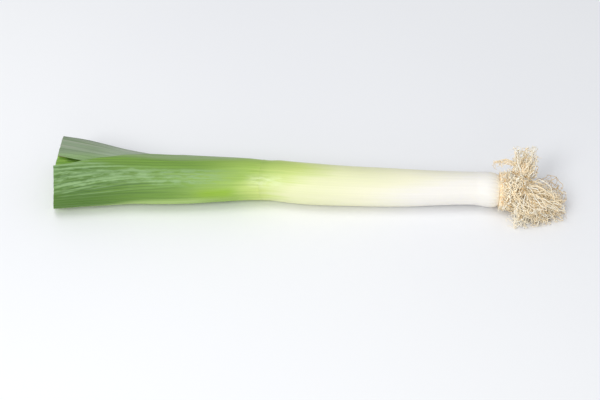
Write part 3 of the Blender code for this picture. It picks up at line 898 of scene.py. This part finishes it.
def stray_strand(chooser):
    """Leaves the upper tuft and runs back past the end of the stalk."""
    height = chooser.uniform(0.010, 0.0155)
    depth = chooser.uniform(0.012, 0.017)
    start = drawn(chooser, (0.014, 0.020), depth - 0.003, height - 0.003)
    middle = drawn(chooser, (0.007, 0.011), depth, (height, height + 0.001))
    tip = drawn(chooser, (-0.005, 0.003), (depth - 0.001, depth + 0.001), height)
    curl = tip + drawn(chooser, (-0.003, 0.002), (-0.003, 0.0), (-0.004, 0.0))
    return [start, middle, tip, curl]


def long_strand(chooser):
    """Falls forward past the end of the leek and lies in loops."""
    side = chooser.uniform(0, 2 * math.pi)
    start = drawn(chooser, (0.004, 0.016), FAN_RADIUS * math.cos(side), FAN_RADIUS * math.sin(side))
    way = chooser.uniform(0.0, 1.0)
    reach = FAN_START + FAN_LENGTH * way
    tip = drawn(chooser, (reach - 0.003, reach + 0.001), (-0.024 + 0.010 * way * way, -0.010 + 0.014 * way),
                (-0.012, 0.001))
    middle = start.lerp(tip, 0.5) + drawn(chooser, (-0.002, 0.006), (-0.004, 0.005), (-0.001, 0.005))
    curl = tip + drawn(chooser, (-0.006, 0.004), (-0.004, 0.003), (-0.004, 0.002))
    return [start, middle, tip, curl]


def loose_strand(chooser):
    """Arches out past the far side of the fan and comes down beside it."""
    start = drawn(chooser, (0.015, 0.020), (0.0, 0.004), (-0.003, 0.001))
    crest = drawn(chooser, (0.030, 0.042), (0.007, 0.019), (-0.009, 0.001))
    tip = drawn(chooser, (0.040, 0.048), (-0.013, 0.012), (-0.012, -0.005))
    shoulder = crest.lerp(tip, 0.5) + drawn(chooser, (0.0, 0.002), (0.0, 0.002), 0.0)
    return [start, crest, shoulder, tip]


# Lumps of matted root under the strands: name, place, way, radius and length.
FELT_LUMPS = (("root_felt", (0.0002, 0.0, 0.0), (1.0, 0.0, 0.0), 0.0119, 0.0195),
              ("root_felt_upper", (0.013, 0.003, 0.002), (0.25, 0.85, 0.45), 0.0074, 0.0185),
              ("root_felt_lower", (0.010, -0.002, -0.003), (0.86, -0.42, -0.16), 0.0080, 0.0240))
LUMP_COLUMNS = 64
LUMP_ROWS = 40
LUMP_UNEVEN = 0.07
LUMPS_ROUND = 9
LUMPS_UP = 14

# Bunches of strands that stand out of the lumps: name, kind, count, radius limits, wobble and tone limits.
STRAND_BUNCHES = (("roots_felted", felt_strand, 360, (0.00022, 0.00036), 0.0006, (0.0, 1.0)),
                  ("roots_upper", upper_strand, 170, (0.00018, 0.00030), 0.0007, (0.0, 1.0)),
                  ("roots_stray", stray_strand, 10, (0.00020, 0.00030), 0.0005, (0.0, 0.35)),
                  ("roots_long", long_strand, 340, (0.00020, 0.00034), 0.0008, (0.0, 1.0)),
                  ("roots_loose", loose_strand, 12, (0.00016, 0.00024), 0.0013, (0.0, 0.05)))


def strand_kink(way, bends, phases):
    """Small sideways bend at this part of the way: a slow and a fast wave for each axis."""
    return Vector([math.sin(bends[axis] * 2 * math.pi * way + phases[axis])
                   + 0.6 * math.sin(bends[axis + 3] * 4 * math.pi * way + phases[axis + 3])
                   for axis in range(3)])


def smooth_path(points, count, chooser, wobble):
    """Evenly read points of a spline through the given ones, with small kinks."""
    padded = [points[0] * 2 - points[1]] + points + [points[-1] * 2 - points[-2]]
    phases = [chooser.uniform(0, 2 * math.pi) for _ in range(6)]
    bends = [chooser.uniform(1.5, 4.5) for _ in range(6)]
    path = []
    for step in range(count):
        way = step / (count - 1)
        u = way * (len(points) - 1)
        k = min(int(u), len(points) - 2)
        t = u - k
        p0, p1, p2, p3 = padded[k:k + 4]
        point = 0.5 * (2 * p1 + (p2 - p0) * t + (2 * p0 - 5 * p1 + 4 * p2 - p3) * t * t
                       + (3 * p1 - p0 - 3 * p2 + p3) * t ** 3)
        path.append(point + strand_kink(way, bends, phases) * wobble * min(1.0, way * 3))
    return path


def strand_rings(path, radius):
    """Rings of points round a path, kept untwisted from one to the next and smaller towards its end."""
    rings = []
    normal = None
    for index, point in enumerate(path):
        ahead = path[min(index + 1, len(path) - 1)] - path[max(index - 1, 0)]
        ahead.normalize()
        if normal is None:
            normal = ahead.orthogonal().normalized()
        normal = (normal - ahead * normal.dot(ahead)).normalized()
        side = ahead.cross(normal)
        taper = radius * (1.0 - STRAND_TAPER * (index / (len(path) - 1)) ** 2)
        turns = [2 * math.pi * k / STRAND_SIDES for k in range(STRAND_SIDES)]
        rings.append([point + (normal * math.cos(turn) + side * math.sin(turn)) * taper for turn in turns])
    return rings


def strand_faces(first):
    """Faces of one closed strand whose points are numbered from first, ring by ring."""
    faces = []
    last = first + (STRAND_POINTS - 1) * STRAND_SIDES
    for ring in range(first, last, STRAND_SIDES):
        for k in range(STRAND_SIDES):
            a = ring + k
            b = ring + (k + 1) % STRAND_SIDES
            faces.append((a, b, b + STRAND_SIDES, a + STRAND_SIDES))
    faces.append(tuple(first + k for k in reversed(range(STRAND_SIDES))))
    faces.append(tuple(last + k for k in range(STRAND_SIDES)))
    return faces


def strand_bunch(name, kind, count, radius_range, wobble, tone_range, chooser, finish):
    """One mesh of many closed strands. Its UV map holds each strand's own tone and the way along it."""
    vertices, faces, marks = [], [], []
    centre = centre_of_plate()
    for _ in range(count):
        path = smooth_path(kind(chooser), STRAND_POINTS, chooser, wobble)
        path = [keep_clear(centre + point) for point in path]
        rings = strand_rings(path, chooser.uniform(*radius_range))
        tone = chooser.uniform(*tone_range)
        faces.extend(strand_faces(len(vertices)))
        for index, ring in enumerate(rings):
            vertices.extend(tuple(point) for point in ring)
            marks.extend([(tone, index / (STRAND_POINTS - 1))] * STRAND_SIDES)
    mesh = bpy.data.meshes.new(name)
    mesh.from_pydata(vertices, [], faces)
    layer = mesh.uv_layers.new(name="strand")
    for loop in mesh.loops:
        layer.data[loop.index].uv = marks[loop.vertex_index]
    mesh.shade_smooth()
    mesh.materials.append(finish)
    made = bpy.data.objects.new(name, mesh)
    bpy.context.scene.collection.objects.link(made)
    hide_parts("roots")
    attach(made, "root")


def root_material():
    """Dry straw-coloured strands, each with a tone of its own, browner in places."""
    shading = Shading("dry roots")
    tone, way = shading.uv("strand")
    colour = shading.ramp(tone, ((0.0, ROOT_TAN), (0.12, ROOT_STRAW), (0.6, ROOT_CREAM), (1.0, ROOT_PALE)))
    patches = shading.noise(shading.vector(shading.times(tone, 90), shading.times(way, 5), 1.0))
    colour = shading.mix(shading.span(patches, 0.58, 0.78, 0.0, 0.5), colour, ROOT_BROWN)
    grain = shading.noise(shading.vector(shading.times(tone, 40), shading.times(way, 60), 2.0))
    shading.bump(grain, distance=0.0001, strength=0.5)
    return shading.finish(colour, roughness=0.7, specular=0.3)


def felt_material():
    """The matted lumps under the strands, browner in their hollows: partly the roots' own colour, partly
    painted shade.
    """
    shading = Shading("root felt")
    grain = shading.noise(shading.place(), scale=900, detail=4)
    # Brown in the hollows: partly the felt's own colour, partly painted shade between the strands.
    colour = shading.ramp(grain, ((0.30, FELT_BROWN), (0.42, FELT_STRAW), (0.60, FELT_CREAM)))
    shading.bump(grain, distance=0.0004, strength=1.0)
    return shading.finish(colour, roughness=0.85, specular=0.2)


def felt_lump(name, place, way, radius, length, finish):
    """A dome of matted root with an uneven surface, which stands on place and points the given way."""
    turned = np.radians(np.linspace(0, 360, LUMP_COLUMNS, endpoint=False)[None, :])
    tilt = np.linspace(0.0, math.pi / 2 - 0.02, LUMP_ROWS)[:, None]
    uneven = np.sin(turned * LUMPS_ROUND + 4 * tilt) * np.sin(tilt * LUMPS_UP + 3 * np.sin(turned * 4))
    girth = radius * np.cos(tilt) * (1 + LUMP_UNEVEN * uneven)
    rise = length * np.sin(tilt)
    ahead = Vector(way).normalized()
    side = ahead.orthogonal().normalized()
    other = ahead.cross(side)
    x, y, z = (base + rise * ahead[axis]
               + girth * (np.cos(turned) * side[axis] + np.sin(turned) * other[axis])
               for axis, base in enumerate(centre_of_plate() + Vector(place)))
    z = np.maximum(z, FLOOR_CLEARANCE)
    made = grid_mesh(name, x, y, z, {"round": (turned / (2 * math.pi), 0.0)}, closed=True)
    close_ends(made)
    made.data.materials.append(finish)
    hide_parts("roots")
    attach(made, "root")


def build_roots():
    chooser = random.Random(ROOT_SEED)
    finish = root_material()
    felt = felt_material()
    for lump in FELT_LUMPS:
        felt_lump(*lump, felt)
    for bunch in STRAND_BUNCHES:
        strand_bunch(*bunch, chooser, finish)


FLOOR_HALF = 3.0


def floor_material():
    shading = Shading("pale floor")
    cloud = shading.noise(shading.place(), scale=2.0)
    colour = shading.mix(shading.span(cloud, 0.3, 0.7), FLOOR_GREY, FLOOR_PALE)
    return shading.finish(colour, roughness=0.6, specular=0.2)


def build_floor():
    work = bmesh.new()
    corners = [work.verts.new((x * FLOOR_HALF, y * FLOOR_HALF, 0.0))
               for x, y in ((-1, -1), (1, -1), (1, 1), (-1, 1))]
    work.faces.new(corners)
    mesh = bpy.data.meshes.new("floor")
    work.to_mesh(mesh)
    work.free()
    mesh.materials.append(floor_material())
    made = bpy.data.objects.new("floor", mesh)
    bpy.context.scene.collection.objects.link(made)


# Soft studio light. Lamps: name, place, aim, width, watts and colour.
SKY_COLOUR = (0.95, 0.97, 1.0, 1.0)
SKY_STRENGTH = 0.55
LAMPS = (("key", (-0.85, -1.15, 1.10), (-0.10, -0.05, 0.0), 0.80, 13.0, (1.0, 0.99, 0.975)),
         ("low front", (0.20, -1.60, 0.30), (0.0, 0.0, 0.0), 1.00, 4.8, (1.0, 0.99, 0.98)),
         ("overhead", (-0.40, -0.10, 1.50), (-0.15, -0.15, 0.0), 1.00, 6.5, (1.0, 0.995, 0.985)))


def area_light(name, place, aim, size, power, colour):
    data = bpy.data.lights.new(name, "AREA")
    data.shape = "DISK"
    data.size = size
    data.energy = power
    data.color = colour
    made = bpy.data.objects.new(name, data)
    made.location = place
    made.rotation_mode = "QUATERNION"
    made.rotation_quaternion = (Vector(aim) - Vector(place)).to_track_quat("-Z", "Y")
    bpy.context.scene.collection.objects.link(made)


def build_light():
    world = bpy.data.worlds.new("studio")
    bpy.context.scene.world = world
    world.use_nodes = True
    world.node_tree.nodes["Background"].inputs["Color"].default_value = SKY_COLOUR
    world.node_tree.nodes["Background"].inputs["Strength"].default_value = SKY_STRENGTH
    for lamp in LAMPS:
        area_light(*lamp)
    bpy.context.scene.view_settings.view_transform = "Standard"
    bpy.context.scene.view_settings.look = "None"


def build_camera():
    data = bpy.data.cameras.new("camera")
    data.sensor_width = SENSOR_WIDTH
    data.lens = SENSOR_WIDTH * VIEW_DISTANCE / VIEW_WIDTH
    azimuth, elevation = math.radians(VIEW_AZIMUTH), math.radians(VIEW_ELEVATION)
    back = Vector((math.sin(azimuth) * math.cos(elevation), -math.cos(azimuth) * math.cos(elevation),
                   math.sin(elevation)))
    camera = bpy.data.objects.new("camera", data)
    camera.location = Vector(AIM) + back * VIEW_DISTANCE
    camera.rotation_mode = "QUATERNION"
    camera.rotation_quaternion = (-back).to_track_quat("-Z", "Y")
    bpy.context.scene.collection.objects.link(camera)
    bpy.context.scene.camera = camera


build_camera()
build_stalk()
build_leaves()
build_roots()
build_floor()
build_light()
